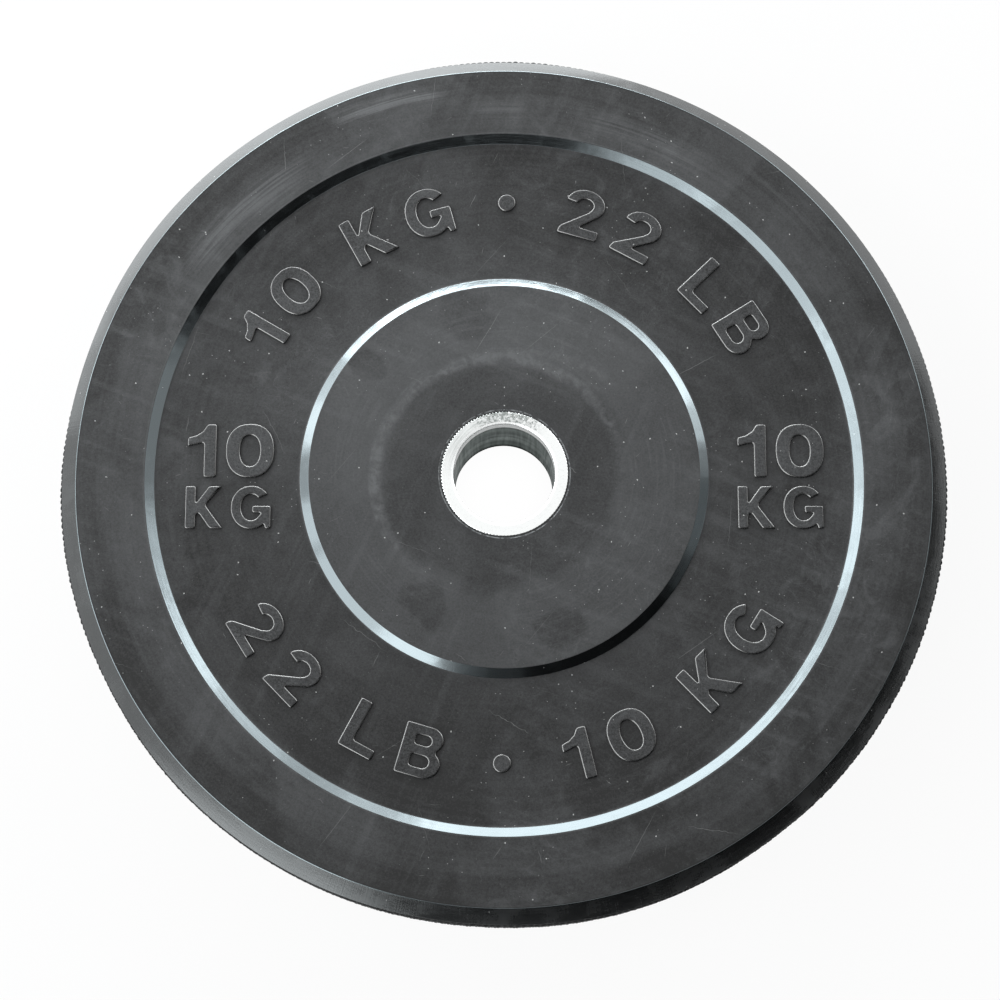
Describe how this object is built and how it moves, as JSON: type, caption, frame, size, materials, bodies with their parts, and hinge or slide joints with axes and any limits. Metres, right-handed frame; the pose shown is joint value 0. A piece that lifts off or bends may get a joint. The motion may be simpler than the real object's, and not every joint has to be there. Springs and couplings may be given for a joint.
{
  "type": "bumper plate",
  "caption": "Round rubber weight plate with a chamfered knurled rim, recessed web, raised hub and a steel-lined bore for a barbell.",
  "frame": {"origin": "centre of the plate, on its axis and halfway through its thickness", "axes": "+Z along the axis of the bore; the plate lies flat in X and Y, and both faces are alike"},
  "size_m": [0.45, 0.45, 0.0496],
  "materials": {
    "moulded_rubber": "satin",
    "turned_steel": "satin",
    "sheet_steel": "matte"
  },
  "bodies": {
    "root": {"rubber_disc": "moulded_rubber", "insert_sleeve": "turned_steel", "anchor_flange": "sheet_steel"}
  },
  "joints": []
}
